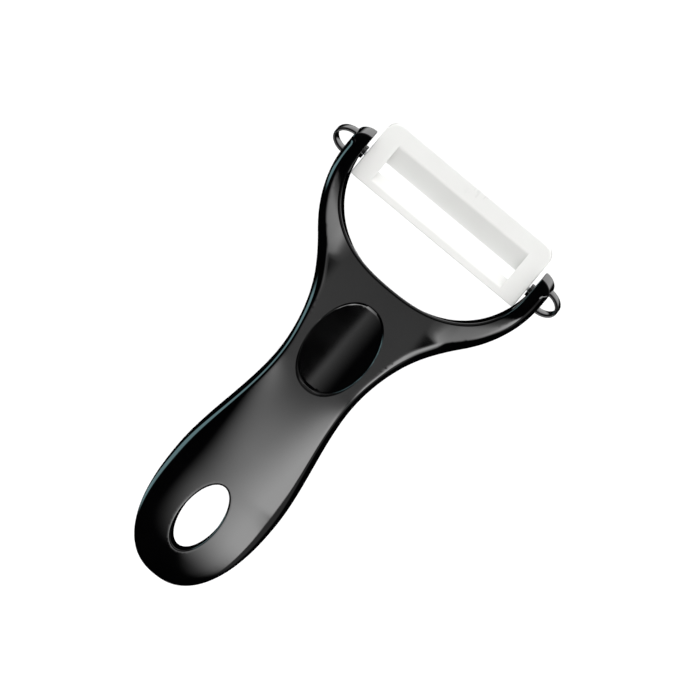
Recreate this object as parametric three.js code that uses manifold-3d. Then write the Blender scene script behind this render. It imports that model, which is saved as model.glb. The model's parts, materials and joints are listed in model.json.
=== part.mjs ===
// Y-shaped vegetable peeler. One moulded handle carries a slotted ceramic blade between its
// two arms, and the blade swings on two short steel pins.
//
// Millimetres. +X runs across the arms, +Y along the handle towards the blade, and +Z out of
// the thumb side. The origin is on the flat underside, in the plane of symmetry, below the
// web that joins the two arms.

import * as THREE from 'three';
import { mergeVertices } from 'three/addons/utils/BufferGeometryUtils.js';
import Module from 'manifold-3d';

// Handle, side view
const MID = 3.85;                 // height of the parting plane above the underside
const GRIP_HALF_THICK = 4.5;      // at the thumb rest
const BUTT_HALF_THICK = 2.7;      // around the hanging hole
const THIN_END = -78;             // the grip thickens between these two stations
const THICK_START = -22;
const END_ROUNDING = 4;           // roundness of the butt in side view
const GRIP_SECTION_POWER = 2.3;   // 2 is an ellipse, more is boxier

// Handle, plan view
const BUTT = -92.3;
const BELLY = { y: -61.8, halfWidth: 16.36 };
const BUTT_POWER = 2.35;
const WAIST = { y: -24.2, halfWidth: 12.09 };
const FLARE = { x: 16.9, y: -2.7, lean: 26.2 };       // lean is the outline's angle from +Y
const SHOULDER = { x: 24.05, y: 8.06, lean: 37.3 };
const ARM_OUTER = 32.3;
const ARM_INNER = 28.05;
const ARM_STRAIGHT = 30.5;        // the arms are straight beyond this station
const TIP = 36.7;
const TIP_ROUND_LENGTH = 3;
const WEB_NOSE = 14;              // where the grip's thick body would end, past the throat
const ARM_EDGE = 1;               // rounding of the arms' long edges

// Throat between the arms
const THROAT = { bottom: 7.4, centre: 34.4, power: 2.35, lean: 20 };

// Thumb rest and hanging hole
const THUMB = { y: -12.5, halfWidth: 8.87, halfLength: 14.25, depth: 1.4, bowl: 4 };
const HANG_HOLE = { y: -71.9, halfWidth: 5.1, halfLength: 10.7 };

// Eye removers: a loop outside each arm
const LOOP = { reach: 36.65, root: 31.9, halfLength: 3.37, wall: 0.9, height: 3.8 };

// Blade, measured from the pivot's axis
const BLADE_HALF_LENGTH = 26.85;
const BLADE_THICK = 2.2;
const BLADE_FRONT = 12.36;
const BLADE_BACK = -6.27;
const FRONT_CORNER = 3.6;
const BACK_CORNER = 0.5;
const SLOT_HALF_LENGTH = 21.47;
const EDGE_CREASE = 7.43;         // where the cutting bevel leaves the top face
const CUTTING_EDGE = 1.24;
const GUIDE_EDGE = -1.96;
const GUIDE_CREASE = -4.26;

// Pivot
const PIVOT = new THREE.Vector3(0, 31.17, MID);
const BOSS_RADIUS = 1.8;
const BOSS_FACE = 27.15;
const PIN_RADIUS = 0.6;
const PIN_INNER = 23;             // the pin's end in the blade
const PIN_OUTER = 30.7;           // and its end in the arm
const RUNNING_GAP = 0.06;
const FIXED_GAP = 0.02;
const END_GAP = 0.2;
const SWING = 30;                 // degrees each way
const LUG = { radius: 1.2, halfAngle: 12, start: 27.45, length: 1.3 };
const POCKET = { radius: 1.35, clearance: 1, depth: 1.85 };

const ROUND_STEPS = 24;
const OVERSHOOT = 5;              // how far a cutter runs past the face it cuts
const OVERLAP = 1;                // how far small pieces run into what they join or cut
const MERGE_DISTANCE = 1e-5;

const wasm = await Module();
wasm.setup();

// Turns a closed three.js geometry into a solid that can be joined and cut.
function solid(geometry) {
  const bare = geometry.clone();
  bare.deleteAttribute('normal');
  bare.deleteAttribute('uv');
  const merged = mergeVertices(bare, MERGE_DISTANCE);
  const index = merged.index.array;
  const kept = [];
  for (let i = 0; i < index.length; i += 3) {
    const [a, b, c] = index.slice(i, i + 3);
    if (a !== b && b !== c && c !== a) kept.push(a, b, c);
  }
  const mesh = new wasm.Mesh({
    numProp: 3,
    vertProperties: new Float32Array(merged.attributes.position.array),
    triVerts: new Uint32Array(kept),
  });
  return new wasm.Manifold(mesh);
}

function geometryOf(manifold) {
  const mesh = manifold.getMesh();
  const geometry = new THREE.BufferGeometry();
  geometry.setAttribute('position', new THREE.BufferAttribute(mesh.vertProperties, 3));
  geometry.setIndex(new THREE.BufferAttribute(mesh.triVerts, 1));
  geometry.computeVertexNormals();
  return geometry;
}

const radians = THREE.MathUtils.degToRad;
const heading = (lean) => new THREE.Vector2(Math.sin(radians(lean)), Math.cos(radians(lean)));

// A quarter of a superellipse from (0, -halfLength) to (halfWidth, 0).
function quarterOval(halfWidth, halfLength, power, steps) {
  return Array.from({ length: steps + 1 }, (_, i) => {
    const angle = (i / steps) * Math.PI / 2;
    const x = halfWidth * Math.sin(angle) ** (2 / power);
    const y = -halfLength * Math.abs(Math.cos(angle)) ** (2 / power);
    return new THREE.Vector2(i === 0 ? 0 : x, i === steps ? 0 : y);
  });
}

// A cubic curve that leaves `from` along one heading and reaches `to` along another.
function sweep(from, fromLean, fromPull, to, toLean, toPull, steps) {
  const control1 = from.clone().addScaledVector(heading(fromLean), fromPull);
  const control2 = to.clone().addScaledVector(heading(toLean), -toPull);
  return new THREE.CubicBezierCurve(from, control1, control2, to).getPoints(steps);
}

// Closes a right-hand outline, listed from the low end to the high end, with its mirror image.
function mirroredShape(rightSide) {
  const leftSide = rightSide.map((p) => new THREE.Vector2(-p.x, p.y)).reverse();
  const loop = [...rightSide, ...leftSide];
  const distinct = loop.filter((p, i) => p.distanceTo(loop.at(i - 1)) > MERGE_DISTANCE);
  return new THREE.Shape(distinct);
}

function slab(shape, low, high, curveSegments = ROUND_STEPS) {
  const depth = high - low;
  return new THREE.ExtrudeGeometry(shape, { depth, bevelEnabled: false, curveSegments })
    .translate(0, 0, low);
}

// A round bar along X between two stations.
function bar(radius, x0, x1) {
  return new THREE.CylinderGeometry(radius, radius, Math.abs(x1 - x0), ROUND_STEPS)
    .rotateZ(Math.PI / 2)
    .translate((x0 + x1) / 2, PIVOT.y, PIVOT.z);
}

// A wedge of a disc about the pivot's axis, pointing down, between two stations on X.
function wedge(radius, halfAngle, x0, x1) {
  const reach = radians(halfAngle);
  const shape = new THREE.Shape();
  shape.moveTo(0, 0);
  shape.lineTo(radius * Math.cos(reach), -radius * Math.sin(reach));
  shape.absarc(0, 0, radius, -reach, reach);
  return slab(shape, 0, Math.abs(x1 - x0), 10)
    .rotateY(Math.PI / 2)
    .translate(Math.min(x0, x1), PIVOT.y, PIVOT.z);
}

const waistPoint = new THREE.Vector2(WAIST.halfWidth, WAIST.y);
const flarePoint = new THREE.Vector2(FLARE.x, FLARE.y);

// Half the grip's thickness at a station along the handle.
function halfThickness(y) {
  const swell = THREE.MathUtils.smoothstep(y, THIN_END, THICK_START);
  const full = THREE.MathUtils.lerp(BUTT_HALF_THICK, GRIP_HALF_THICK, swell);
  const fromEnd = Math.min(y - BUTT, WEB_NOSE - y);
  const closing = 1 - Math.min(1, fromEnd / END_ROUNDING);
  return full * Math.sqrt(Math.max(0, 1 - closing ** 2));
}

// The thick body that the hand holds: a turned profile pressed into a boxy oval section.
function grip() {
  const bellyLength = BELLY.y - BUTT;
  const butt = quarterOval(BELLY.halfWidth, bellyLength, BUTT_POWER, 14)
    .map((p) => new THREE.Vector2(p.x, p.y + BELLY.y));
  const bellyPoint = butt.at(-1);
  const third = (WAIST.y - BELLY.y) / 3;
  const flank = sweep(bellyPoint, 0, third, waistPoint, 0, third, 10);
  const neck = sweep(waistPoint, 0, 7.5, flarePoint, FLARE.lean, 7, 8);
  const nose = new THREE.CubicBezierCurve(
    flarePoint,
    new THREE.Vector2(FLARE.x + 1, FLARE.y + 3),
    new THREE.Vector2(FLARE.x, WEB_NOSE),
    new THREE.Vector2(0, WEB_NOSE),
  ).getPoints(10);
  const profile = [...butt, ...flank.slice(1), ...neck.slice(1), ...nose.slice(1)];
  const geometry = new THREE.LatheGeometry(profile, 40);
  const position = geometry.attributes.position;
  const shrink = 2 / GRIP_SECTION_POWER;
  for (let i = 0; i < position.count; i += 1) {
    const x = position.getX(i);
    const z = position.getZ(i);
    const radius = Math.hypot(x, z);
    if (radius > 0) {
      const across = Math.sign(x) * Math.abs(x / radius) ** shrink;
      const up = Math.sign(z) * Math.abs(z / radius) ** shrink;
      position.setX(i, across * radius);
      position.setZ(i, up * halfThickness(position.getY(i)));
    }
  }
  return solid(geometry.translate(0, 0, MID));
}

// The flat fork: web and arms, before the throat is cut out of it.
function fork() {
  const root = new THREE.Vector2(9, -12);
  const entry = sweep(root, 90, 2, flarePoint, FLARE.lean, 6, 6);
  const shoulderPoint = new THREE.Vector2(SHOULDER.x, SHOULDER.y);
  const armPoint = new THREE.Vector2(ARM_OUTER, ARM_STRAIGHT);
  const lower = sweep(flarePoint, FLARE.lean, 4, shoulderPoint, SHOULDER.lean, 4.5, 8);
  const upper = sweep(shoulderPoint, SHOULDER.lean, 7, armPoint, 0, 9, 12);
  const tip = quarterOval(ARM_OUTER - ARM_INNER, TIP_ROUND_LENGTH, 2, 8)
    .map((p) => new THREE.Vector2(ARM_INNER + p.x, TIP - TIP_ROUND_LENGTH - p.y))
    .reverse();
  const outline = [...entry, ...lower.slice(1), ...upper.slice(1), ...tip];
  const geometry = new THREE.ExtrudeGeometry(mirroredShape(outline), {
    depth: 2 * (MID - ARM_EDGE),
    bevelThickness: ARM_EDGE,
    bevelSize: ARM_EDGE,
    bevelOffset: -ARM_EDGE,
    bevelSegments: 3,
  });
  return solid(geometry.translate(0, 0, ARM_EDGE));
}

// The throat's wall leans back under the web and stands upright between the arms.
function throatCutter() {
  const depth = THROAT.centre - THROAT.bottom;
  const bowl = quarterOval(ARM_INNER, depth, THROAT.power, 26)
    .map((p) => new THREE.Vector2(p.x, p.y + THROAT.centre));
  const mouth = new THREE.Vector2(ARM_INNER, TIP + 2 * OVERSHOOT);
  const geometry = slab(mirroredShape([...bowl, mouth]), -MID - OVERSHOOT, MID + OVERSHOOT);
  const position = geometry.attributes.position;
  const slope = Math.tan(radians(THROAT.lean));
  for (let i = 0; i < position.count; i += 1) {
    const share = 1 - (position.getX(i) / ARM_INNER) ** 2;
    position.setY(i, position.getY(i) + position.getZ(i) * slope * share);
  }
  return solid(geometry.translate(0, 0, MID));
}

function thumbCutter() {
  const rim = Math.sqrt(1 - ((THUMB.bowl - THUMB.depth) / THUMB.bowl) ** 2);
  const surface = MID + GRIP_HALF_THICK;
  const geometry = new THREE.SphereGeometry(1, 40, 24)
    .rotateX(Math.PI / 2)
    .scale(THUMB.halfWidth / rim, THUMB.halfLength / rim, THUMB.bowl)
    .translate(0, THUMB.y, surface + THUMB.bowl - THUMB.depth);
  return solid(geometry);
}

function hangHoleCutter() {
  const shape = new THREE.Shape();
  shape.absellipse(0, HANG_HOLE.y, HANG_HOLE.halfWidth, HANG_HOLE.halfLength, 0, 2 * Math.PI);
  return solid(slab(shape, -OVERSHOOT, 2 * MID + OVERSHOOT, 40));
}

// A half ring whose two feet are buried in the arm, which closes it into a D.
function loop(side) {
  const reach = LOOP.reach - LOOP.root;
  const quarter = Math.PI / 2;
  const shape = new THREE.Shape();
  shape.absellipse(0, 0, reach, LOOP.halfLength, -quarter, quarter);
  const eyeReach = reach - LOOP.wall;
  const eyeHalfLength = LOOP.halfLength - LOOP.wall;
  shape.absellipse(0, 0, eyeReach, eyeHalfLength, quarter, -quarter, true);
  const ring = slab(shape, -LOOP.height / 2, LOOP.height / 2, 16);
  if (side < 0) ring.rotateZ(Math.PI);
  return solid(ring.translate(side * LOOP.root, PIVOT.y, MID));
}

function handle() {
  let body = grip().add(fork()).subtract(throatCutter());
  body = body.subtract(thumbCutter()).subtract(hangHoleCutter());
  const floor = new THREE.BoxGeometry(4 * ARM_OUTER, 4 * Math.abs(BUTT), 2 * OVERSHOOT);
  body = body.subtract(solid(floor.translate(0, 0, -OVERSHOOT)));
  for (const side of [-1, 1]) {
    const pocketSpan = SWING + LUG.halfAngle + POCKET.clearance;
    const pocketEnd = BOSS_FACE + POCKET.depth;
    body = body.add(loop(side));
    body = body.add(solid(bar(BOSS_RADIUS, side * BOSS_FACE, side * (ARM_INNER + OVERLAP))));
    const mouth = side * (BOSS_FACE - OVERLAP);
    const bore = bar(PIN_RADIUS + RUNNING_GAP, mouth, side * (PIN_OUTER + END_GAP));
    body = body.subtract(solid(bore));
    const pocket = wedge(POCKET.radius, pocketSpan, mouth, side * pocketEnd);
    body = body.subtract(solid(pocket));
  }
  return geometryOf(body);
}

// The blade's plate in plan: well rounded front corners, crisp back corners.
function bladePlate() {
  const frontX = BLADE_HALF_LENGTH - FRONT_CORNER;
  const frontY = BLADE_FRONT - FRONT_CORNER;
  const backX = BLADE_HALF_LENGTH - BACK_CORNER;
  const backY = BLADE_BACK + BACK_CORNER;
  const shape = new THREE.Shape();
  shape.moveTo(-backX, BLADE_BACK);
  shape.lineTo(backX, BLADE_BACK);
  shape.absarc(backX, backY, BACK_CORNER, -Math.PI / 2, 0);
  shape.absarc(frontX, frontY, FRONT_CORNER, 0, Math.PI / 2);
  shape.absarc(-frontX, frontY, FRONT_CORNER, Math.PI / 2, Math.PI);
  shape.absarc(-backX, backY, BACK_CORNER, Math.PI, 1.5 * Math.PI);
  const plate = slab(shape, -BLADE_THICK / 2, BLADE_THICK / 2, 8);
  return solid(plate.translate(PIVOT.x, PIVOT.y, PIVOT.z));
}

// The pocket in the plate: a long cutting bevel, the slot that the peel comes through, and a
// steep guide bevel. It is drawn across the blade and run along it.
function bladePocket() {
  const top = BLADE_THICK / 2;
  const shape = new THREE.Shape([
    new THREE.Vector2(EDGE_CREASE, top),
    new THREE.Vector2(EDGE_CREASE, top + OVERLAP),
    new THREE.Vector2(GUIDE_CREASE, top + OVERLAP),
    new THREE.Vector2(GUIDE_CREASE, top),
    new THREE.Vector2(GUIDE_EDGE, -top),
    new THREE.Vector2(GUIDE_EDGE, -top - OVERLAP),
    new THREE.Vector2(CUTTING_EDGE, -top - OVERLAP),
    new THREE.Vector2(CUTTING_EDGE, -top),
  ]);
  const run = slab(shape, -SLOT_HALF_LENGTH, SLOT_HALF_LENGTH);
  const axes = new THREE.Matrix4().makeBasis(
    new THREE.Vector3(0, 1, 0),
    new THREE.Vector3(0, 0, 1),
    new THREE.Vector3(1, 0, 0),
  );
  return solid(run.applyMatrix4(axes).translate(PIVOT.x, PIVOT.y, PIVOT.z));
}

function blade() {
  let body = bladePlate().subtract(bladePocket());
  for (const side of [-1, 1]) {
    const x0 = side * (PIN_INNER - END_GAP);
    const x1 = side * (BLADE_HALF_LENGTH + OVERLAP);
    body = body.subtract(solid(bar(PIN_RADIUS + FIXED_GAP, x0, x1)));
  }
  return geometryOf(body);
}

// A steel pin fixed in the blade's end, with a lug that stops the swing inside the arm's boss.
function pivotPin(side) {
  const pin = solid(bar(PIN_RADIUS, side * PIN_INNER, side * PIN_OUTER));
  const lug = wedge(LUG.radius, LUG.halfAngle, side * LUG.start, side * (LUG.start + LUG.length));
  return geometryOf(pin.add(solid(lug)));
}

const pianoBlack = new THREE.MeshStandardMaterial({ color: 0x08090a, roughness: 0.12, metalness: 0 });
const zirconia = new THREE.MeshStandardMaterial({ color: 0xf1f1ee, roughness: 0.3, metalness: 0 });
const steel = new THREE.MeshStandardMaterial({ color: 0xb9bcc0, roughness: 0.35, metalness: 1 });

function piece(name, geometry, material) {
  const mesh = new THREE.Mesh(geometry, material);
  mesh.name = name;
  return mesh;
}

const peeler = new THREE.Group();
peeler.add(piece('handle', handle(), pianoBlack));

const swingingBlade = new THREE.Group();
swingingBlade.add(piece('blade', blade(), zirconia));
swingingBlade.add(piece('pivot_pin_left', pivotPin(-1), steel));
swingingBlade.add(piece('pivot_pin_right', pivotPin(1), steel));
peeler.add(swingingBlade);

export default peeler;
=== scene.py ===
"""The Y-shaped peeler: a gloss black moulded handle, a white ceramic blade and two steel pins.

Shapes are worked out in millimetres in the CAD frame, +X across the arms, +Y towards the
blade, +Z out of the thumb side, and become metres when a mesh is made.
"""
import json
import math

import bpy
import numpy as np
from mathutils import Matrix, Vector
from mathutils.geometry import delaunay_2d_cdt


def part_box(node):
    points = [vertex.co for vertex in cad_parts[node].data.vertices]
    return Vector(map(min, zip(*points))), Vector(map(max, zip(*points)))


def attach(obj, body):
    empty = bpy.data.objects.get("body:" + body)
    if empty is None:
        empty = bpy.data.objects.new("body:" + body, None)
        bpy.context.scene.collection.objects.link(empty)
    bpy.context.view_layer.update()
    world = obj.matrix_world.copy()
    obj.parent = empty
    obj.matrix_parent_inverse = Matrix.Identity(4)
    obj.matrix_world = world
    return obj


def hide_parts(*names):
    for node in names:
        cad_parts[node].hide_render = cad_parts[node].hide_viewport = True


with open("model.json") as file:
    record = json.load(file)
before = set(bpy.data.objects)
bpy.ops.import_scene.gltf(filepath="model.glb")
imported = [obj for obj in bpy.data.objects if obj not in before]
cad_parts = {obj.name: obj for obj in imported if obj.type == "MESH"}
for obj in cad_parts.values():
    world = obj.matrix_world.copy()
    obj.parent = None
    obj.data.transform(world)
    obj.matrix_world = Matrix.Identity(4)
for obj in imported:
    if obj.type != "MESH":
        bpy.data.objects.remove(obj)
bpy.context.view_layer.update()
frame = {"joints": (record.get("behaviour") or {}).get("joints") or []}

MM = 0.001

# ---------------------------------------------------------------- sizes taken from the frame
handle_low, handle_high = (np.array(corner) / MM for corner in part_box("handle"))
blade_low, blade_high = (np.array(corner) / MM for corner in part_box("blade"))
pin_low, pin_high = (np.array(corner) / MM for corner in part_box("pivot_pin_right"))
PIVOT = np.array(frame["joints"][0]["pos_m"]) / MM
SWING = frame["joints"][0]["range_deg"][1]
MID = PIVOT[2]                              # the handle's parting plane
BUTT = handle_low[1]
LOOP_REACH = handle_high[0]
BLADE_HALF_LENGTH = blade_high[0]
BLADE_THICK = blade_high[2] - blade_low[2]

# ---------------------------------------------------------------- handle, plan view
BELLY_Y, BELLY_HALF = -61.8, 16.36
BUTT_POWER = 2.35
WAIST_Y, WAIST_HALF = -24.2, 12.09
FLARE = (16.9, -2.7, 26.2)                  # x, y and the outline's angle from +Y
SHOULDER = (24.05, 8.06, 37.3)
ARM_OUTER, ARM_INNER = 32.3, 28.05
ARM_STRAIGHT = 30.5
NECK_PULLS, LOWER_PULLS, UPPER_PULLS = (7.5, 7), (4, 4.5), (7, 9)   # reach of each end's direction
TIP = 36.7
TIP_ROUND = 3.0
TIP_CORNER = 0.35
THROAT_BOTTOM, THROAT_CENTRE, THROAT_POWER = 7.4, 34.4, 2.35
THROAT_LEAN, LEAN_REACH = 20, 5             # degrees the web's end wall leans back, mm it reaches

# ---------------------------------------------------------------- handle, side view
PLATEAU = 3.9                               # top of the neck above the parting plane
TAPER = 0.03                                # fall per mm of the grip's back towards the butt
TAPER_START, TAPER_EASE = -25, 33
SECTION_SOFT, SECTION_BOXY = 2.0, 2.9       # roundness of the grip's section, belly and waist
BOXY_FROM, BOXY_TO = -60, -34
NECK_EDGE, NECK_CROWN = 2.0, 190            # the neck is nearly level with rounded edges
NECK_FROM, NECK_TO = -64, -22
CROWN_FADE = (-46, -22)                     # the neck's cross crown fades out along this stretch
BUTT_DROP_Y, BUTT_DROP = -62, 0.0016        # the butt's top bows down, then runs straight
BUTT_BOW = 22
FLAT_BACK = MID                             # depth of the flat underside below the parting plane
BACK_BUTT, BACK_THICK = 2.7, 4.5
BACK_THIN_END, BACK_THICK_START = -78, -22
BACK_EMERGE = (-14, 0)                      # the flat back comes out of the grip's round one
BACK_BLEND_GRIP, BACK_BLEND_ARM, BACK_BLEND_FLAT = 0.02, 0.6, 0.3
BACK_SPARE = 0.2                            # the arms' back before it is cut off flat
ARM_SIDE, ARM_START = (13.2, 20.4), (-4, 6)     # the arms part from the web, in X and in Y
ARM_SINK = 0.3                              # how far below the web the arms' climb begins
ARM_RISE_Y, ARM_RISE_EASE = 5, 2
ARM_CLIMB, ARM_CLIMB_END = 0.08, 11.5       # slope, and where it begins to level off
ARM_CREST_Y = 23.5
ARM_DROOP, ARM_DROOP_Y = 0.075, 28.5        # slope, and where it becomes steady
ARM_CROWN, CROWN_WIDTH = 0.014, 9           # crown as a share of the arm's width, up to this width
SHOULDER_EDGE, ARM_EDGE = 3.2, 2.4          # reach of the rounding along the outer edge
EDGE_FALL = 0.7                             # its fall as a share of the reach, past the neck
TIP_EDGE, THROAT_EDGE, BACK_EDGE = 0.25, 0.7, 1.1
SHOULDER_SPAN, ARM_SPAN = (-14, 0), (4, 14)     # where one rounding changes to the next
TIP_SPAN, THROAT_SPAN = (32, 34.5), (26, 32)
PARTING_BAND = 0.05

# ---------------------------------------------------------------- thumb rest, hole, loops
THUMB_Y, THUMB_HALF_WIDTH, THUMB_HALF_LENGTH = -12.5, 8.87, 14.25
THUMB_DEPTH, THUMB_CURVE, THUMB_POWER = 1.33, 30.5, 2.15
THUMB_WALL, THUMB_FILLET = 0.8, 0.05
THUMB_BANK = 1.2                            # slope of the made-up surface around the thumb rest
HOLE_Y, HOLE_HALF_WIDTH, HOLE_HALF_LENGTH = -71.9, 5.1, 10.7
HOLE_EDGE = 0.6
LOOP_ROOT, LOOP_HALF_LENGTH, LOOP_WALL, LOOP_HEIGHT = 31.9, 3.37, 0.9, 3.8
LOOP_CORNER = 0.22
BOSS_RADIUS, BOSS_FACE, BOSS_EDGE = 1.8, 27.15, 0.15
BOSS_ROOT, BOSS_CORE = 0.6, 0.3             # sunk into the arm, radius of the hollow down its middle
PIN_RADIUS, PIN_CLEARANCE, PIN_CHAMFER = 0.6, 0.06, 0.15
PIN_FIT, BORE_SPARE = 0.02, 0.2             # clearance in the blade, depth beyond the pin's end
LUG_RADIUS, LUG_HALF_ANGLE, LUG_START, LUG_LENGTH = 1.2, 12, 27.45, 1.3
POCKET_RADIUS, POCKET_END, POCKET_SPARE = 1.35, 29.0, 1     # the last in degrees, at each stop
OVERCUT = 1.0                               # how far a cutting shape stands out of what it cuts

# ---------------------------------------------------------------- blade, from the pivot's axis
FRONT_CORNER, BACK_CORNER = 3.6, 0.5
BLADE_EDGE = 0.28
SLOT_HALF_LENGTH = 21.47
EDGE_CREASE, CREASE_ROUND, CUTTING_EDGE = 7.43, 1.3, 1.24
GUIDE_EDGE, GUIDE_CREASE, GUIDE_ROUND = -1.96, -4.26, 0.35

# ---------------------------------------------------------------- mesh resolution
OUTLINE_STEP, FINE_STEP = 0.5, 0.4
GRID_STEP = 0.45
THUMB_RINGS = (-1.0, -0.65, -0.4, -0.24, -0.12, -0.04, 0.04, 0.12, 0.26)
RING_INSET, RING_COUNT, RING_POWER = 2.0, 18, 2.2
HOLE_RING_COUNT, HOLE_RING_POWER = 8, 1.8
TIP_RINGS, TIP_RINGS_FROM = 0.72, (30, 34)      # the rings lie closer together at the arms' tips
BLOCK = 2000                                # points measured at a time
TURN_STEPS = 64
GRID_CLEARANCE = 0.6                        # least gap to a line, as a share of the grid's step
SHARP_HANDLE, SHARP_BLADE, SHARP_PIN = 40, 6, 30        # degrees at which an edge is left sharp


# ================================================================ curves and distances
def heading(lean):
    """A direction in plan, `lean` degrees from +Y towards +X."""
    return np.array([math.sin(math.radians(lean)), math.cos(math.radians(lean))])


def quarter_oval(half_width, half_length, power, steps):
    """From (0, -half_length) to (half_width, 0)."""
    angle = np.linspace(0, math.pi / 2, steps + 1)
    x = half_width * np.sin(angle) ** (2 / power)
    y = -half_length * np.abs(np.cos(angle)) ** (2 / power)
    return np.column_stack([x, y])


def bezier(p0, p1, p2, p3, steps=200):
    t = np.linspace(0, 1, steps + 1)[:, None]
    s = 1 - t
    return s**3 * p0 + 3 * s**2 * t * p1 + 3 * s * t**2 * p2 + t**3 * p3


def sweep(start, start_lean, end, end_lean, pulls):
    """A smooth line between two points with given directions at its ends."""
    start, end = np.array(start, float), np.array(end, float)
    first = start + pulls[0] * heading(start_lean)
    second = end - pulls[1] * heading(end_lean)
    return bezier(start, first, second, end)


def resample(points, step):
    """The same line with points about `step` apart."""
    lengths = np.r_[0, np.cumsum(np.hypot(*np.diff(points, axis=0).T))]
    count = max(2, round(lengths[-1] / step))
    at = np.linspace(0, lengths[-1], count + 1)
    return np.column_stack([np.interp(at, lengths, points[:, i]) for i in (0, 1)])


def chain(*lines):
    """Joins lines end to end, each starting where the last one ended."""
    return np.vstack([lines[0]] + [line[1:] for line in lines[1:]])


def mirrored_loop(right):
    """Closes a right-hand line that starts and ends on the middle plane."""
    left = right[-2:0:-1] * [-1, 1]
    return np.vstack([right, left])


def distance(points, line, closed=False):
    """Distance from each point to a polyline."""
    a = line
    b = np.roll(line, -1, axis=0)
    if not closed:
        a, b = a[:-1], b[:-1]
    ab = b - a
    length2 = np.maximum((ab**2).sum(1), 1e-12)
    out = np.empty(len(points))
    for i in range(0, len(points), BLOCK):
        p = points[i:i + BLOCK, None, :]
        t = np.clip(((p - a) * ab).sum(2) / length2, 0, 1)
        gap = p - (a + t[..., None] * ab)
        out[i:i + BLOCK] = np.sqrt((gap**2).sum(2).min(1))
    return out


def inside(points, loop):
    """Whether each point lies inside a closed loop."""
    a, b = loop, np.roll(loop, -1, axis=0)
    rise = b[:, 1] - a[:, 1]
    rise[rise == 0] = 1e-12
    out = np.empty(len(points), bool)
    for i in range(0, len(points), BLOCK):
        p = points[i:i + BLOCK, None, :]
        spans = (a[:, 1] > p[..., 1]) != (b[:, 1] > p[..., 1])
        cross = a[:, 0] + (p[..., 1] - a[:, 1]) / rise * (b[:, 0] - a[:, 0])
        out[i:i + BLOCK] = (spans & (p[..., 0] < cross)).sum(1) % 2 == 1
    return out


def smoothstep(x, low, high):
    t = np.clip((x - low) / (high - low), 0, 1)
    return t * t * (3 - 2 * t)


def soft_max(a, b, k):
    """The larger of two heights, blended where they come within k of each other."""
    return np.maximum(a, b) + np.maximum(k - np.abs(a - b), 0) ** 2 / (4 * k)


def soft_min(a, b, k):
    return -soft_max(-a, -b, k)


def quarter_round(d, radius):
    """0 at an edge and 1 from `radius` inwards, along a quarter circle."""
    return np.sqrt(np.maximum(0, 1 - (1 - np.clip(d / radius, 0, 1)) ** 2))


# ================================================================ meshes
def signed_volume(vertices, faces):
    """Positive when the faces of a closed mesh look outwards."""
    total = 0.0
    for face in faces:
        for b, c in zip(face[1:-1], face[2:]):
            total += np.dot(vertices[face[0]], np.cross(vertices[b], vertices[c]))
    return total / 6


def make_object(name, vertices, faces, material):
    mesh = bpy.data.meshes.new(name)
    mesh.from_pydata((np.asarray(vertices) * MM).tolist(), [], [list(map(int, f)) for f in faces])
    mesh.materials.append(material)
    mesh.shade_smooth()
    obj = bpy.data.objects.new(name, mesh)
    bpy.context.scene.collection.objects.link(obj)
    return obj


def make_solid(name, vertices, faces, material):
    """A closed mesh whose faces look outwards, whichever way round they were listed."""
    if signed_volume(vertices, faces) < 0:
        faces = [face[::-1] for face in faces]
    return make_object(name, vertices, faces, material)


def combine(obj, other, operation):
    """Joins or cuts obj with another closed mesh and removes the other."""
    modifier = obj.modifiers.new("combine", "BOOLEAN")
    modifier.solver = "MANIFOLD"
    modifier.operation = operation
    modifier.object = other
    evaluated = obj.evaluated_get(bpy.context.evaluated_depsgraph_get())
    mesh = bpy.data.meshes.new_from_object(evaluated)
    obj.modifiers.clear()
    old = obj.data
    obj.data = mesh
    mesh.name = obj.name
    bpy.data.meshes.remove(old)
    bpy.data.objects.remove(other)


def ring_faces(lower, upper):
    """Quads between two closed rings of vertex numbers; `upper` lies to the left of `lower`."""
    a, b = np.asarray(lower), np.asarray(upper)
    return np.column_stack([a, np.roll(a, -1), np.roll(b, -1), b]).tolist()


def outward(loop):
    """Unit normals of a counter-clockwise loop."""
    tangent = np.roll(loop, -1, axis=0) - np.roll(loop, 1, axis=0)
    tangent /= np.hypot(*tangent.T)[:, None]
    return np.column_stack([tangent[:, 1], -tangent[:, 0]])


def inset_rings(loop, insets, scale=1.0, relax=0.15, creep=0.03):
    """Rings that creep inwards from a counter-clockwise loop and round off as they go. `scale`
    shortens the steps point by point."""
    rings = [loop]
    current = loop
    for gap in np.diff(insets):
        steps = max(1, math.ceil(gap / creep))
        for _ in range(steps):
            current = current - gap / steps * scale * outward(current)
            middle = (np.roll(current, -1, axis=0) + np.roll(current, 1, axis=0)) / 2
            share = relax * gap / steps / creep
            current = current * (1 - share) + middle * share
        rings.append(current)
    return rings


def loft(name, rings, material, closed=False):
    """A solid through rings of equally many points, joined end to end or capped at both ends."""
    count = len(rings[0])
    numbers = [np.arange(count) + i * count for i in range(len(rings))]
    faces = []
    for lower, upper in zip(numbers, numbers[1:] + numbers[:closed]):
        faces += ring_faces(lower, upper)
    if not closed:
        faces += [numbers[0][::-1], numbers[-1]]
    return make_solid(name, np.vstack(rings), faces, material)


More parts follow.
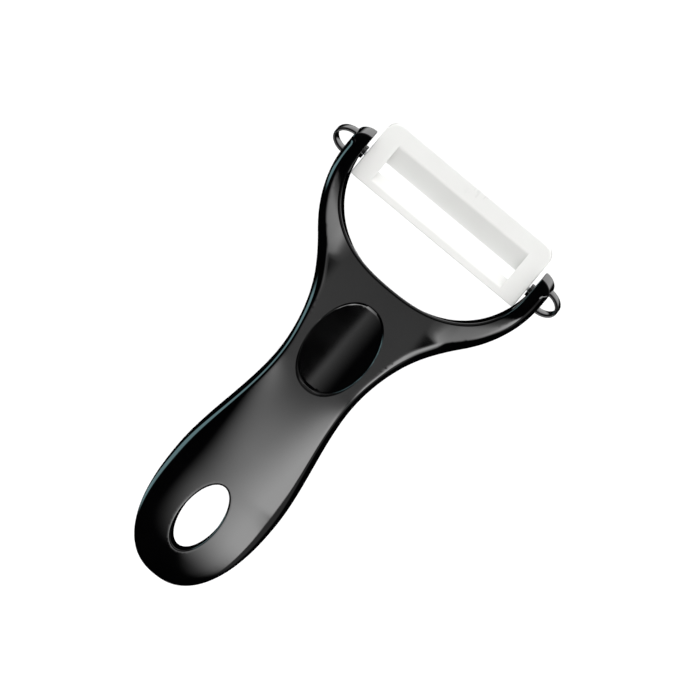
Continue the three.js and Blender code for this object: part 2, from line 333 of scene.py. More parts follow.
def fill(outer, holes, guides, step):
    """Triangles over the plan area inside `outer` and outside `holes`; guides are extra closed
    lines that triangle edges follow. Loop points come first, in the order given."""
    loops = [outer, *holes, *guides]
    points = np.vstack(loops)
    edges = []
    start = 0
    for loop in loops:
        edges += [(start + i, start + (i + 1) % len(loop)) for i in range(len(loop))]
        start += len(loop)
    row = step * math.sqrt(3) / 2
    low, high = outer.min(0), outer.max(0)
    xs = np.arange(-math.ceil(-low[0] / step), math.ceil(high[0] / step) + 1) * step
    ys = np.arange(low[1], high[1], row)
    grid = np.array([(x + (j % 2) * step / 2, y) for j, y in enumerate(ys) for x in xs])
    keep = inside(grid, outer)
    for hole in holes:
        keep &= ~inside(grid, hole)
    grid = grid[keep]
    for loop in loops:
        grid = grid[distance(grid, loop, closed=True) > GRID_CLEARANCE * step]
    every = np.vstack([points, grid])
    made = delaunay_2d_cdt([Vector(p) for p in every], edges, [], 0, 1e-7, True)
    vertices, _, triangles, originals = made[:4]
    number = [o[0] if o else -1 for o in originals]
    if len(vertices) != len(every) or -1 in number:
        print("fill: the loops cross,", len(vertices) - len(every), "points added")
    triangles = np.array([[number[i] for i in t] for t in triangles])
    centres = every[triangles].mean(1)
    keep = inside(centres, outer)
    for hole in holes:
        keep &= ~inside(centres, hole)
    return every, triangles[keep]


def finish_part(obj, sharp_angle, body, node):
    """Keeps the sharp edges, hangs the piece on a body and hides the CAD part of the node it stands
    for.
    """
    obj.data.set_sharp_from_angle(angle=math.radians(sharp_angle))
    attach(obj, body)
    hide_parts(node)


# ================================================================ handle
def oval_line(half_width, half_length, y, power=2.0):
    """A closed oval about (0, y)."""
    quarter = resample(quarter_oval(half_width, half_length, power, 200), FINE_STEP)
    right = np.vstack([quarter, quarter[-2::-1] * [1, -1]])
    return mirrored_loop(right) + [0, y]


def butt_and_flank():
    """The outline's right side from the butt to the flare."""
    butt = quarter_oval(BELLY_HALF, BELLY_Y - BUTT, BUTT_POWER, 400) + [0, BELLY_Y]
    third = (WAIST_Y - BELLY_Y) / 3
    flank = sweep((BELLY_HALF, BELLY_Y), 0, (WAIST_HALF, WAIST_Y), 0, (third, third))
    neck = sweep((WAIST_HALF, WAIST_Y), 0, FLARE[:2], FLARE[2], NECK_PULLS)
    return chain(butt, flank, neck)


def handle_outline():
    """Right side in stretches: up to the arm's tip, the tip's corner, and the throat."""
    lower = sweep(FLARE[:2], FLARE[2], SHOULDER[:2], SHOULDER[2], LOWER_PULLS)
    upper = sweep(SHOULDER[:2], SHOULDER[2], (ARM_OUTER, ARM_STRAIGHT), 0, UPPER_PULLS)
    tip = quarter_oval(ARM_OUTER - ARM_INNER - TIP_CORNER, TIP_ROUND, 2, 60)[::-1] * [1, -1]
    tip = tip + [ARM_INNER + TIP_CORNER, TIP - TIP_ROUND]
    side = chain(butt_and_flank(), lower, upper, tip)
    turn = np.linspace(math.pi / 2, math.pi, 6)
    corner = np.column_stack([np.cos(turn), np.sin(turn)]) * TIP_CORNER
    corner = corner + [ARM_INNER + TIP_CORNER, TIP - TIP_CORNER]
    bowl = quarter_oval(ARM_INNER, THROAT_CENTRE - THROAT_BOTTOM, THROAT_POWER, 400)[::-1]
    throat = np.vstack([[ARM_INNER, TIP - TIP_CORNER], bowl + [0, THROAT_CENTRE]])
    return resample(side, OUTLINE_STEP), corner, resample(throat, OUTLINE_STEP)


SIDE, CORNER, THROAT = handle_outline()
OUTLINE = mirrored_loop(chain(SIDE, CORNER, THROAT))
OUTER_EDGE = np.vstack([THROAT[0] * [-1, 1], SIDE[::-1] * [-1, 1], SIDE[1:], CORNER])
THROAT_LINE = np.vstack([THROAT, THROAT[-2::-1] * [-1, 1]])


def half_width_at(y):
    """Half the width of the grip and neck at y."""
    side = butt_and_flank()
    stations = side[side[:, 1] > BELLY_Y]
    return np.interp(y, stations[:, 1], stations[:, 0])


def section(depth, half_width, power):
    """Height of a superellipse section, 0 at its edge and 1 where it is level."""
    across = 1 - np.clip(depth / half_width, 0, 1)
    return (1 - across**power) ** (1 / power)


def taper(y):
    """How far the grip's top line has fallen at y."""
    back = np.clip(TAPER_START - y, 0, TAPER_EASE)
    start = TAPER * (back**2 / TAPER_EASE - back**3 / (3 * TAPER_EASE**2))
    return start + TAPER * np.clip(TAPER_START - TAPER_EASE - y, 0, None)


def raised_height(points, depth):
    """The top of the grip, web and shoulders above the parting plane; depth is the distance
    inwards from the outer edge."""
    y = points[:, 1]
    back = np.clip(BUTT_DROP_Y - y, 0, None)
    bow = np.minimum(back, BUTT_BOW)
    top = PLATEAU - taper(y) - BUTT_DROP * (bow**2 + 2 * BUTT_BOW * (back - bow))
    power = SECTION_SOFT + (SECTION_BOXY - SECTION_SOFT) * smoothstep(y, BOXY_FROM, BOXY_TO)
    grip = top * section(depth, half_width_at(y), power)
    crown = points[:, 0] ** 2 / (2 * NECK_CROWN) * (1 - smoothstep(y, *CROWN_FADE))
    edge = NECK_EDGE + (SHOULDER_EDGE - NECK_EDGE) * smoothstep(y, *SHOULDER_SPAN)
    edge += (ARM_EDGE - SHOULDER_EDGE) * smoothstep(y, *ARM_SPAN)
    edge += (TIP_EDGE - ARM_EDGE) * smoothstep(y, *TIP_SPAN)
    fall = 1 - (1 - EDGE_FALL) * smoothstep(y, *SHOULDER_SPAN)
    neck = top - crown - fall * edge * (1 - quarter_round(depth, edge))
    return grip + (neck - grip) * smoothstep(y, NECK_FROM, NECK_TO)


def arm_rise(y):
    """How far the arms' crest stands above the web: it climbs, levels off and droops."""
    start = np.clip(y - ARM_RISE_Y, 0, ARM_RISE_EASE)
    steady_y = ARM_RISE_Y + ARM_RISE_EASE
    steady = np.clip(y - steady_y, 0, ARM_CLIMB_END - steady_y)
    climb = ARM_CLIMB * (start**2 / (2 * ARM_RISE_EASE) + steady)
    ease = ARM_CREST_Y - ARM_CLIMB_END
    t = np.clip((y - ARM_CLIMB_END) / ease, 0, 1)
    climb += ARM_CLIMB * ease * (t - t**2 / 2)
    fall = ARM_DROOP_Y - ARM_CREST_Y
    t = np.clip((y - ARM_CREST_Y) / fall, 0, 1)
    return climb - ARM_DROOP * (fall * t**2 / 2 + np.clip(y - ARM_DROOP_Y, 0, None))


def thumb_floor(points):
    """The thumb rest: a trough along the handle, closed by walls at its two ends."""
    x, y = points.T
    share = np.clip(np.abs(x) / THUMB_HALF_WIDTH, 0, 1)
    end = THUMB_HALF_LENGTH * (1 - share**THUMB_POWER) ** (1 / THUMB_POWER)
    gap = end - np.abs(y - THUMB_Y)
    trough = THUMB_DEPTH - x**2 / (2 * THUMB_CURVE)
    drop = trough * (1 - np.clip(1 - gap / THUMB_WALL, 0, 1) ** 2)
    rim = distance(points, THUMB_RIM, closed=True)
    return PLATEAU + np.where(inside(points, THUMB_RIM), -drop, THUMB_BANK * rim)


def top_height(points):
    """Height of the thumb side above the parting plane."""
    x, y = np.abs(points[:, 0]), points[:, 1]
    to_outer = distance(points, OUTER_EDGE)
    to_throat = distance(points, THROAT_LINE)
    width = to_outer + to_throat
    across = (to_throat - to_outer) / np.maximum(width, 1e-6)
    crown = ARM_CROWN * np.minimum(width, CROWN_WIDTH) * (1 - across**2)
    share = smoothstep(x, *ARM_SIDE) * smoothstep(y, *ARM_START)
    height = raised_height(points, to_outer) + share * (arm_rise(y) + crown - ARM_SINK)
    inner = THROAT_EDGE + (TIP_EDGE - THROAT_EDGE) * smoothstep(y, *THROAT_SPAN)
    height -= inner * (1 - quarter_round(to_throat, inner))
    height = soft_min(height, thumb_floor(points), THUMB_FILLET)
    return np.maximum(height, PARTING_BAND)


def bottom_height(points):
    """Depth of the back below the parting plane."""
    y = points[:, 1]
    swell = smoothstep(y, BACK_THIN_END, BACK_THICK_START)
    half_thickness = BACK_BUTT + (BACK_THICK - BACK_BUTT) * swell
    to_edge = distance(points, OUTLINE, closed=True)
    to_outer = distance(points, OUTER_EDGE)
    grip = half_thickness * section(to_outer, half_width_at(y), SECTION_SOFT)
    emerge = smoothstep(y, *BACK_EMERGE)
    arm = (FLAT_BACK + BACK_SPARE) * emerge - BACK_EDGE * (1 - quarter_round(to_edge, BACK_EDGE))
    depth = soft_max(grip * (1 - emerge), arm, BACK_BLEND_GRIP + BACK_BLEND_ARM * emerge)
    depth = np.minimum(soft_min(depth, FLAT_BACK, BACK_BLEND_FLAT), FLAT_BACK)
    return np.maximum(depth, PARTING_BAND)


def hole_rounding(points):
    """How far the hanging hole's rounded edge falls."""
    from_hole = distance(points, HOLE, closed=True)
    return HOLE_EDGE * (1 - quarter_round(from_hole, HOLE_EDGE))


HOLE = oval_line(HOLE_HALF_WIDTH, HOLE_HALF_LENGTH, HOLE_Y)
THUMB_RIM = oval_line(THUMB_HALF_WIDTH, THUMB_HALF_LENGTH, THUMB_Y, THUMB_POWER)


def lean_throat(vertices):
    """Leans the web's end wall back towards the grip on its way down."""
    x, y, z = vertices.T
    near = 1 - smoothstep(distance(vertices[:, :2], THROAT_LINE), 0, LEAN_REACH)
    share = np.clip(1 - (x / ARM_INNER) ** 2, 0, 1) * near
    vertices[:, 1] = y + (z - MID) * math.tan(math.radians(THROAT_LEAN)) * share
    return vertices


def ring_insets(reach, count, power):
    """Insets that lie closer together towards the edge."""
    return reach * (np.arange(count + 1) / count) ** power


def handle_shell(material):
    """The moulding without its loops and bosses: rings follow every edge, triangles fill the
    rest, and the two sides meet in a narrow band at the parting plane."""
    insets = ring_insets(RING_INSET, RING_COUNT, RING_POWER)
    shorter = 1 - TIP_RINGS * smoothstep(OUTLINE[:, 1], *TIP_RINGS_FROM)[:, None]
    outer_rings = inset_rings(OUTLINE, insets, shorter)
    hole_insets = ring_insets(HOLE_EDGE, HOLE_RING_COUNT, HOLE_RING_POWER)
    hole_rings = inset_rings(HOLE[::-1], hole_insets, relax=0.0)
    thumb_rings = [THUMB_RIM + gap * outward(THUMB_RIM) for gap in THUMB_RINGS]
    vertices = []
    faces = []

    def add(points, heights, sign):
        start = sum(len(v) for v in vertices)
        vertices.append(np.column_stack([points, MID + sign * heights]))
        return np.arange(start, start + len(points))

    for sign, height_of, guides in ((1, top_height, thumb_rings), (-1, bottom_height, [])):
        outer_numbers = [add(ring, height_of(ring), sign) for ring in outer_rings]
        hole_numbers = [
            add(ring, height_of(ring) - hole_rounding(ring), sign) for ring in hole_rings
        ]
        for numbers in (outer_numbers, hole_numbers):
            for lower, upper in zip(numbers, numbers[1:]):
                quads = ring_faces(lower, upper)
                faces += quads if sign > 0 else [q[::-1] for q in quads]
        plan, triangles = fill(outer_rings[-1], [hole_rings[-1]], guides, GRID_STEP)
        rim = len(outer_rings[-1]) + len(hole_rings[-1])
        fresh = add(plan[rim:], height_of(plan[rim:]), sign)
        lookup = np.concatenate([outer_numbers[-1], hole_numbers[-1], fresh])
        triangles = lookup[triangles]
        wrong = plan_area_sign(np.vstack(vertices), triangles) * sign < 0
        triangles[wrong] = triangles[wrong][:, ::-1]
        faces += triangles.tolist()
        if sign > 0:
            top_outer, top_hole = outer_numbers[0], hole_numbers[0]
        else:
            faces += ring_faces(outer_numbers[0], top_outer)
            faces += ring_faces(hole_numbers[0], top_hole)
    return make_solid("handle_body", lean_throat(np.vstack(vertices)), faces, material)


def plan_area_sign(vertices, triangles):
    """1 for triangles listed counter-clockwise in plan, -1 for the others."""
    a, b, c = (vertices[triangles[:, i], :2] for i in range(3))
    return np.sign((b - a)[:, 0] * (c - a)[:, 1] - (b - a)[:, 1] * (c - a)[:, 0])


def turned_ring(x, radius, side):
    """A circle about the pivot's axis."""
    angle = np.linspace(0, 2 * math.pi, TURN_STEPS, endpoint=False)
    return np.column_stack([
        np.full(TURN_STEPS, side * x),
        PIVOT[1] + radius * np.cos(angle),
        PIVOT[2] + radius * np.sin(angle),
    ])


def bar_x(radius, x0, x1, side, material, chamfer=0.0):
    """A round bar along the pivot's axis with closed, chamfered ends."""
    stations = [(x0, radius), (x1, radius)]
    if chamfer:
        small = radius - chamfer
        stations = [(x0, small), (x0 + chamfer, radius), (x1 - chamfer, radius), (x1, small)]
    return loft("bar", [turned_ring(x, r, side) for x, r in stations], material)


def wedge_x(radius, half_angle, x0, x1, side, material, steps=12):
    """A wedge of a disc about the pivot's axis, pointing down."""
    angle = np.radians(np.linspace(-half_angle, half_angle, steps + 1))
    rim = np.column_stack([radius * np.sin(angle), -radius * np.cos(angle)])
    wedge = np.vstack([[0, 0], rim]) + PIVOT[1:]
    ends = [np.column_stack([np.full(len(wedge), side * x), wedge]) for x in (x0, x1)]
    return loft("wedge", ends, material)


def loop_ring(side, material):
    """The eye remover: a flat band bent into a half ring whose feet are sunk in the arm."""
    reach = LOOP_REACH - LOOP_ROOT - LOOP_WALL / 2
    half_length = LOOP_HALF_LENGTH - LOOP_WALL / 2
    angle = np.linspace(-math.pi / 2, math.pi / 2, 65)
    path = np.column_stack([reach * np.cos(angle), half_length * np.sin(angle)])
    normal = np.column_stack([half_length * np.cos(angle), reach * np.sin(angle)])
    normal /= np.hypot(*normal.T)[:, None]
    turn = np.linspace(0, math.pi / 2, 6)
    arc = np.column_stack([np.cos(turn), np.sin(turn)]) * LOOP_CORNER
    half = np.array([LOOP_WALL / 2 - LOOP_CORNER, LOOP_HEIGHT / 2 - LOOP_CORNER])
    corners = []
    for i, quadrant in enumerate(((1, 1), (-1, 1), (-1, -1), (1, -1))):
        corner = (arc + half) * quadrant
        corners.append(corner if i % 2 == 0 else corner[::-1])
    band = np.vstack(corners)
    rings = []
    for centre, out in zip(path, normal):
        plan = centre + band[:, :1] * out
        rings.append(np.column_stack([
            side * (LOOP_ROOT + plan[:, 0]), PIVOT[1] + plan[:, 1], MID + band[:, 1],
        ]))
    return loft("loop", rings, material)


def boss(side, material):
    """A round boss on the arm's inner face; its middle is left open for the pin."""
    end = ARM_INNER + BOSS_ROOT
    rounded = [
        (BOSS_FACE + BOSS_EDGE * (1 - math.sin(t)), BOSS_RADIUS - BOSS_EDGE * (1 - math.cos(t)))
        for t in np.linspace(0, math.pi / 2, 6)
    ]
    profile = [(end, BOSS_CORE), (end, BOSS_RADIUS), *rounded, (BOSS_FACE, BOSS_CORE)]
    return loft("boss", [turned_ring(x, r, side) for x, r in profile], material, closed=True)


def build_handle(material):
    body = handle_shell(material)
    mouth = BOSS_FACE - OVERCUT
    bore_end = pin_high[0] + BORE_SPARE
    span = SWING + LUG_HALF_ANGLE + POCKET_SPARE
    for side in (-1, 1):
        combine(body, loop_ring(side, material), "UNION")
        combine(body, boss(side, material), "UNION")
        bore = bar_x(PIN_RADIUS + PIN_CLEARANCE, mouth, bore_end, side, material)
        combine(body, bore, "DIFFERENCE")
        pocket = wedge_x(POCKET_RADIUS, span, mouth, POCKET_END, side, material)
        combine(body, pocket, "DIFFERENCE")
    finish_part(body, SHARP_HANDLE, "handle", "handle")


# ================================================================ blade and pins
def blade_outline():
    """Large corners at the cutting side, small ones towards the web."""
    front_x, front_y = BLADE_HALF_LENGTH - FRONT_CORNER, blade_high[1] - FRONT_CORNER
    back_x, back_y = BLADE_HALF_LENGTH - BACK_CORNER, blade_low[1] + BACK_CORNER
    back_turn = np.linspace(-math.pi / 2, 0, 8)
    front_turn = np.linspace(0, math.pi / 2, 24)
    back = np.column_stack([np.cos(back_turn), np.sin(back_turn)]) * BACK_CORNER + [back_x, back_y]
    front = np.column_stack([np.cos(front_turn), np.sin(front_turn)]) * FRONT_CORNER
    front = front + [front_x, front_y]
    right = np.vstack([back, front])
    return np.vstack([right, right[::-1] * [-1, 1]])


def rounded_plate(outline, low, high, edge, material, name):
    """A flat plate whose rims are rounded; its faces are single polygons."""
    angle = np.linspace(0, math.pi / 2, 11)
    insets = edge * (1 - np.cos(angle))
    rises = edge * np.sin(angle)
    levels = [(i, low + edge - r) for i, r in zip(insets[::-1], rises[::-1])]
    levels += [(i, high - edge + r) for i, r in zip(insets, rises)]
    normals = outward(outline)
    rings = [np.column_stack([outline - i * normals, np.full(len(outline), z)]) for i, z in levels]
    return loft(name, rings, material)


def fillet(before, corner, after, reach, steps=10):
    """Points that round a corner with a quadratic curve reaching `reach` mm each way."""
    before, corner, after = (np.array(p, float) for p in (before, corner, after))
    start = corner + (before - corner) / np.linalg.norm(before - corner) * reach
    end = corner + (after - corner) / np.linalg.norm(after - corner) * reach
    t = np.linspace(0, 1, steps + 1)[:, None]
    return (1 - t) ** 2 * start + 2 * t * (1 - t) * corner + t**2 * end


def blade_pocket(material):
    """What the slot and its two bevels take out of the plate."""
    top = BLADE_THICK / 2
    crease = fillet((EDGE_CREASE + 3, top), (EDGE_CREASE, top), (CUTTING_EDGE, -top), CREASE_ROUND / 2)
    guide = fillet((GUIDE_EDGE, -top), (GUIDE_CREASE, top), (GUIDE_CREASE - 3, top), GUIDE_ROUND)
    profile = np.vstack([
        crease, [[CUTTING_EDGE, -top], [CUTTING_EDGE, -top - OVERCUT]],
        [[GUIDE_EDGE, -top - OVERCUT], [GUIDE_EDGE, -top]], guide,
        [[GUIDE_CREASE - GUIDE_ROUND, top + OVERCUT]],
        [[EDGE_CREASE + CREASE_ROUND / 2, top + OVERCUT]],
    ]) + PIVOT[1:]
    ends = [
        np.column_stack([np.full(len(profile), x), profile])
        for x in (-SLOT_HALF_LENGTH, SLOT_HALF_LENGTH)
    ]
    return loft("pocket", ends, material)


def build_blade(material):
    low, high = blade_low[2], blade_high[2]
    blade = rounded_plate(blade_outline(), low, high, BLADE_EDGE, material, "ceramic_blade")
    combine(blade, blade_pocket(material), "DIFFERENCE")
    x0, x1 = pin_low[0] - BORE_SPARE, BLADE_HALF_LENGTH + OVERCUT
    for side in (-1, 1):
        combine(blade, bar_x(PIN_RADIUS + PIN_FIT, x0, x1, side, material), "DIFFERENCE")
    finish_part(blade, SHARP_BLADE, "blade", "blade")


def build_pin(side, name, material):
    pin = bar_x(PIN_RADIUS, pin_low[0], pin_high[0], side, material, PIN_CHAMFER)
    pin.name = f"pin_{name}"
    lug_end = LUG_START + LUG_LENGTH
    combine(pin, wedge_x(LUG_RADIUS, LUG_HALF_ANGLE, LUG_START, lug_end, side, material), "UNION")
    finish_part(pin, SHARP_PIN, "blade", f"pivot_pin_{name}")


# ================================================================ materials
class Nodes:
    """Short calls that add shader nodes to one material or world and link them."""

    def __init__(self, owner):
        owner.use_nodes = True
        self.tree = owner.node_tree
        self.tree.nodes.clear()

    def add(self, kind, settings=None, **inputs):
        node = self.tree.nodes.new(kind)
        for key, value in (settings or {}).items():
            setattr(node, key, value)
        for key, value in inputs.items():
            self.put(node, key.replace("_", " "), value)
        return node

    def put(self, node, key, value):
        """Sets or links one input, found by its name or, as in "i2", by its number."""
        numbered = key[0] == "i" and key[1:].isdigit()
        self.feed(node.inputs[int(key[1:]) if numbered else key], value)

    def feed(self, socket, value):
        if isinstance(value, bpy.types.NodeSocket):
            self.tree.links.new(value, socket)
        else:
            socket.default_value = value

    def math(self, operation, *values):
        node = self.add("ShaderNodeMath", {"operation": operation})
        for i, value in enumerate(values):
            self.put(node, f"i{i}", value)
        return node.outputs[0]

    def fold(self, operation, first, *others):
        """Adds up or multiplies any number of values."""
        for value in others:
            first = self.math(operation, first, value)
        return first

    def ramp(self, value, low, high, to_low=0.0, to_high=1.0, kind="SMOOTHSTEP"):
        node = self.add("ShaderNodeMapRange", {"interpolation_type": kind})
        for i, item in enumerate((value, low, high, to_low, to_high)):
            self.put(node, f"i{i}", item)
        return node.outputs[0]

    def noise(self, vector, scale, detail=2.0, roughness=0.5):
        settings = {"Vector": vector, "Scale": scale, "Detail": detail, "Roughness": roughness}
        return self.add("ShaderNodeTexNoise", **settings).outputs["Fac"]

    def position(self, scale=(1, 1, 1)):
        coords = self.add("ShaderNodeTexCoord").outputs["Object"]
        return self.add("ShaderNodeMapping", Vector=coords, Scale=scale).outputs["Vector"]

    def bump(self, height, strength, distance, normal=None):
        node = self.add("ShaderNodeBump", Height=height, Strength=strength, Distance=distance)
        if normal is not None:
            self.put(node, "Normal", normal)
        return node.outputs["Normal"]

    def mix(self, factor, a, b):
        node = self.add("ShaderNodeMix", {"data_type": "RGBA"})
        self.put(node, "Factor", factor)
        for key, value in (("A", a), ("B", b)):
            self.feed([s for s in node.inputs if s.name == key and s.type == "RGBA"][0], value)
        return [s for s in node.outputs if s.type == "RGBA"][0]

    def surface(self, shader, kind="ShaderNodeOutputMaterial"):
        self.add(kind, Surface=shader.outputs[0])


def piano_black():
    """Polished black ABS: deep and mirror-like, with faint swirls from wiping and a few specks."""
    material = bpy.data.materials.new("handle_plastic")
    n = Nodes(material)
    where = n.position()
    swirl = n.noise(n.position((60, 900, 60)), 6, 3, 0.6)
    haze = n.noise(where, 55, 3)
    roughness = n.math("ADD", n.ramp(haze, 0.35, 0.7, 0.045, 0.075), n.ramp(swirl, 0.6, 0.8, 0, 0.02))
    colour = n.mix(n.ramp(haze, 0.3, 0.7), (0.0004, 0.0004, 0.0005, 1), (0.0007, 0.0007, 0.0008, 1))
    fine = n.bump(n.noise(where, 2600, 2), 0.02, 0.00001)
    settings = {"Base_Color": colour, "IOR": 1.5, "Roughness": roughness, "Normal": fine}
    n.surface(n.add("ShaderNodeBsdfPrincipled", **settings))
    return material


def white_zirconia():
    """Fired zirconia: white with a trace of warmth, satin on the frame, drawn grinding lines."""
    material = bpy.data.materials.new("blade_ceramic")
    n = Nodes(material)
    where = n.position()
    cloud = n.noise(where, 90, 4)
    lines = n.noise(n.position((2200, 60, 60)), 1.0, 3, 0.7)
    colour = n.mix(n.ramp(cloud, 0.3, 0.7), (0.67, 0.67, 0.655, 1), (0.69, 0.69, 0.675, 1))
    roughness = n.math("ADD", n.ramp(cloud, 0.3, 0.7, 0.26, 0.34), n.ramp(lines, 0.4, 0.7, 0, 0.06))
    grain = n.bump(n.noise(where, 3500, 3), 0.15, 0.00002)
    ground = n.bump(lines, 0.10, 0.00002, grain)
    shader = n.add(
        "ShaderNodeBsdfPrincipled",
        Base_Color=colour,
        IOR=1.6,
        Roughness=roughness,
        Normal=ground,
        Subsurface_Weight=0.25,
        Subsurface_Scale=0.0012,
        Subsurface_Radius=(0.9, 1.0, 0.95),
    )
    n.surface(shader)
    return material


def drawn_steel():
    """Stainless wire with fine marks along its length."""
    material = bpy.data.materials.new("pin_steel")
    n = Nodes(material)
    marks = n.noise(n.position((120, 5000, 5000)), 1.0, 3, 0.7)
    shader = n.add(
        "ShaderNodeBsdfPrincipled",
        Base_Color=n.mix(marks, (0.5, 0.5, 0.52, 1), (0.66, 0.66, 0.67, 1)),
        Metallic=1.0,
        Roughness=n.ramp(marks, 0.3, 0.7, 0.22, 0.4),
        Normal=n.bump(marks, 0.2, 0.00001),
    )
    n.surface(shader)
    return material


def painted_shadow():
    """Painted shadow: a near-black matt sheet that stands in for the handle's shadow on the paper."""
    material = bpy.data.materials.new("painted_shadow")
    n = Nodes(material)
    shadow_mottle = n.noise(n.position(), 2500, 2)
    # painted shadow colour: near black, with a faint mottle
    colour = n.mix(shadow_mottle, (0.002, 0.002, 0.002, 1), (0.006, 0.006, 0.006, 1))
    n.surface(n.add("ShaderNodeBsdfDiffuse", Color=colour, Roughness=1.0))
    return material


def floor_paper():
    """Matt white paper, left out of pictures taken from underneath."""
    material = bpy.data.materials.new("floor_paper")
    n = Nodes(material)
    tone = n.ramp(n.noise(n.position(), 900, 4), 0.3, 0.7)
    colour = n.mix(tone, (0.95, 0.95, 0.95, 1), (0.97, 0.97, 0.97, 1))
    paper = n.add("ShaderNodeBsdfPrincipled", Base_Color=colour, Roughness=0.9)
    clear = n.add("ShaderNodeBsdfTransparent")
    below = n.add("ShaderNodeNewGeometry").outputs["Backfacing"]
    n.surface(n.add("ShaderNodeMixShader", Fac=below, i1=paper.outputs[0], i2=clear.outputs[0]))
    return material


# ================================================================ studio
CAMERA_TILT = 18          # degrees from straight above, towards the blade
CAMERA_ROLL = 39.8        # degrees that the handle leans to the right in the picture
PICTURE_WIDTH = 178.9     # mm across the picture at the parting plane
PICTURE_CENTRE = (2.1, -12.05)
CAMERA_DISTANCE = 5500
SENSOR = 36
CLIP_RANGE = (0.05, 20)
TENT_LIGHT, TENT_LEAN = 1.3, 0.75       # brightness, and its change from butt to blade
FLOOR_DROP = 60           # mm from the handle's underside down to the paper
FLOOR_HALF = 1500
SHADE_SHARE, SHADE_SHIFT, SHADE_Z = 0.97, -1.5, -1.0     # the footprint's size and place
SHADE_EVERY = 4           # it follows every fourth point of the outline

# What mirror reflections meet, by direction: y towards the blade, z up, aside = x / z. Each
# pair of limits is where a light's edge begins and where it has come to its full strength.
UPPER_HALF, LEAST_RISE = (0.05, 0.2), 0.02
WINDOW_LIGHT = 7.4
WINDOW_RIM, WINDOW_RIM_SHARE, WINDOW_SLANT, SLANT_END = (-0.292, -0.312), 0.28, 0.13, 0.4
WINDOW_GLOW, WINDOW_GLOW_SHARE = (-0.316, -0.375), 0.72
WINDOW_FAR, FAR_SLANT = (-0.58, -0.42), 0.2
WINDOW_LEFT, WINDOW_RIGHT = (-0.38, 0.34), (0.76, 0.68)
PANEL_LIGHT = 0.5
PANEL_RIGHT, PANEL_FAR, PANEL_NEAR = (1.9, 1.3), (-0.6, -0.5), (-0.1, -0.25)
FRONT_LIGHT, FRONT_START, FRONT_TOP = 1.3, (0.02, 0.2), (-0.1, -0.4)
HEAD_LIGHT, HEAD_START = 0.4, (-0.2, 0.5)
EDGE_LIGHT, EDGE_START = 1.0, (0.62, 0.85)
STRIP_LIGHT = (2.4, 4.0, 4.3)
STRIP_NEAR, STRIP_OUTER = (-0.65, -0.7), (-0.9, -0.86)
STRIP_FROM, STRIP_TO, STRIP_BASE = (-0.66, -0.54), (0.02, -0.12), (0.0, 0.1)


def place_camera():
    tilt, roll = math.radians(CAMERA_TILT), math.radians(CAMERA_ROLL)
    back = Vector((0, math.sin(tilt), math.cos(tilt)))
    along = Vector((0, math.cos(tilt), -math.sin(tilt)))
    across = Vector((1, 0, 0))
    right = math.sin(roll) * along + math.cos(roll) * across
    up = math.cos(roll) * along - math.sin(roll) * across
    data = bpy.data.cameras.new("camera")
    data.sensor_width = SENSOR
    data.lens = SENSOR * CAMERA_DISTANCE / PICTURE_WIDTH
    data.clip_start, data.clip_end = CLIP_RANGE
    camera = bpy.data.objects.new("camera", data)
    bpy.context.scene.collection.objects.link(camera)
    target = Vector((*PICTURE_CENTRE, MID)) * MM
    rotation = Matrix((right, up, back)).transposed().to_4x4()
    camera.matrix_world = Matrix.Translation(target + back * CAMERA_DISTANCE * MM) @ rotation
    bpy.context.scene.camera = camera


def window_light(n, y, aside, up):
    """One broad window overhead, dimmer along its near rim."""
    slant = n.math("MINIMUM", n.math("MAXIMUM", aside, 0.0), SLANT_END)
    row = n.math("ADD", y, n.math("MULTIPLY", slant, WINDOW_SLANT))
    rim = n.ramp(row, *WINDOW_RIM, 0, WINDOW_RIM_SHARE)
    near = n.math("ADD", rim, n.ramp(y, *WINDOW_GLOW, 0, WINDOW_GLOW_SHARE))
    left = n.math("MULTIPLY", n.math("MINIMUM", aside, 0.0), FAR_SLANT)
    far = n.ramp(n.math("ADD", y, left), *WINDOW_FAR)
    across = n.math("MULTIPLY", n.ramp(aside, *WINDOW_LEFT), n.ramp(aside, *WINDOW_RIGHT))
    return n.fold("MULTIPLY", near, far, across, up, WINDOW_LIGHT)


def panel_light(n, y, aside):
    """A dim panel to the right of the window."""
    across = n.math("MULTIPLY", n.ramp(aside, *WINDOW_RIGHT[::-1]), n.ramp(aside, *PANEL_RIGHT))
    return n.fold("MULTIPLY", across, n.ramp(y, *PANEL_FAR), n.ramp(y, *PANEL_NEAR), PANEL_LIGHT)


def front_light(n, y, z, up):
    """The pale floor in front of the blade and the soft light above it."""
    floor = n.fold("MULTIPLY", n.ramp(y, *FRONT_START), n.ramp(z, *FRONT_TOP), FRONT_LIGHT)
    head = n.fold("MULTIPLY", n.ramp(y, *HEAD_START), up, HEAD_LIGHT)
    return n.fold("ADD", floor, head, n.ramp(y, *EDGE_START, 0, EDGE_LIGHT))


def strip_light(n, x, y, z):
    """A narrow cool strip low on the left."""
    across = n.math("MULTIPLY", n.ramp(x, *STRIP_NEAR), n.ramp(x, *STRIP_OUTER))
    along = n.math("MULTIPLY", n.ramp(y, *STRIP_FROM), n.ramp(y, *STRIP_TO))
    strip = n.fold("MULTIPLY", across, along, n.ramp(z, *STRIP_BASE))
    red, green, blue = (n.math("MULTIPLY", strip, share) for share in STRIP_LIGHT)
    return n.add("ShaderNodeCombineColor", Red=red, Green=green, Blue=blue).outputs[0]


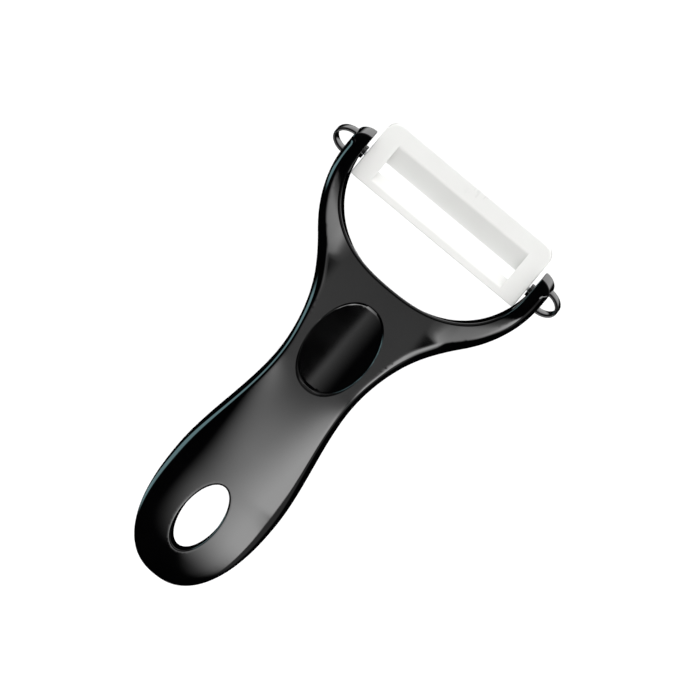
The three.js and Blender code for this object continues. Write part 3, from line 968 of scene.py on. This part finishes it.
def studio_world():
    """A white tent, brighter towards the blade. In mirror reflections it is dark, with a window,
    a panel, a strip and a pale floor."""
    world = bpy.data.worlds.new("studio")
    bpy.context.scene.world = world
    n = Nodes(world)
    direction = n.add("ShaderNodeTexCoord").outputs["Generated"]
    x, y, z = n.add("ShaderNodeSeparateXYZ", Vector=direction).outputs
    aside = n.math("DIVIDE", x, n.math("MAXIMUM", z, LEAST_RISE))
    up = n.ramp(z, *UPPER_HALF)
    window, panel = window_light(n, y, aside, up), panel_light(n, y, aside)
    total = n.fold("ADD", window, panel, front_light(n, y, z, up))
    grey = n.add("ShaderNodeCombineColor", Red=total, Green=total, Blue=total).outputs[0]
    cool = strip_light(n, x, y, z)
    seen = n.add("ShaderNodeVectorMath", {"operation": "ADD"}, i0=grey, i1=cool).outputs[0]
    mirrored = n.add("ShaderNodeBackground", Color=seen, Strength=1.0)
    glow = n.ramp(y, -1, 1, TENT_LIGHT * (1 - TENT_LEAN), TENT_LIGHT * (1 + TENT_LEAN), "LINEAR")
    tent = n.add("ShaderNodeBackground", Color=(1, 1, 1, 1), Strength=glow)
    glossy = n.add("ShaderNodeLightPath").outputs["Is Glossy Ray"]
    both = n.add("ShaderNodeMixShader", Fac=glossy, i1=tent.outputs[0], i2=mirrored.outputs[0])
    n.surface(both, "ShaderNodeOutputWorld")


def lay_shade():
    """A painted shadow: the handle's own dark footprint on the paper, met by mirror reflections only.
    """
    footprint = OUTLINE[::SHADE_EVERY] * SHADE_SHARE + [0, SHADE_SHIFT]
    vertices = np.column_stack([footprint, np.full(len(footprint), SHADE_Z)])
    # the painted shadow sheet under the handle, hidden from camera, diffuse and shadow rays
    shade = make_object("shade", vertices, [range(len(footprint))], painted_shadow())
    shade.visible_camera = shade.visible_diffuse = shade.visible_shadow = False


def lay_floor():
    corners = [(x, y, -FLOOR_DROP) for x, y in ((-1, -1), (1, -1), (1, 1), (-1, 1))]
    vertices = np.array(corners) * [FLOOR_HALF, FLOOR_HALF, 1]
    floor = make_object("floor", vertices, [range(4)], floor_paper())
    floor.visible_glossy = False


def build_studio():
    place_camera()
    studio_world()
    lay_floor()
    lay_shade()
    scene = bpy.context.scene
    scene.view_settings.view_transform = "Standard"
    scene.view_settings.look = "None"


build_handle(piano_black())
build_blade(white_zirconia())
for side, name in ((-1, "left"), (1, "right")):
    build_pin(side, name, drawn_steel())
build_studio()
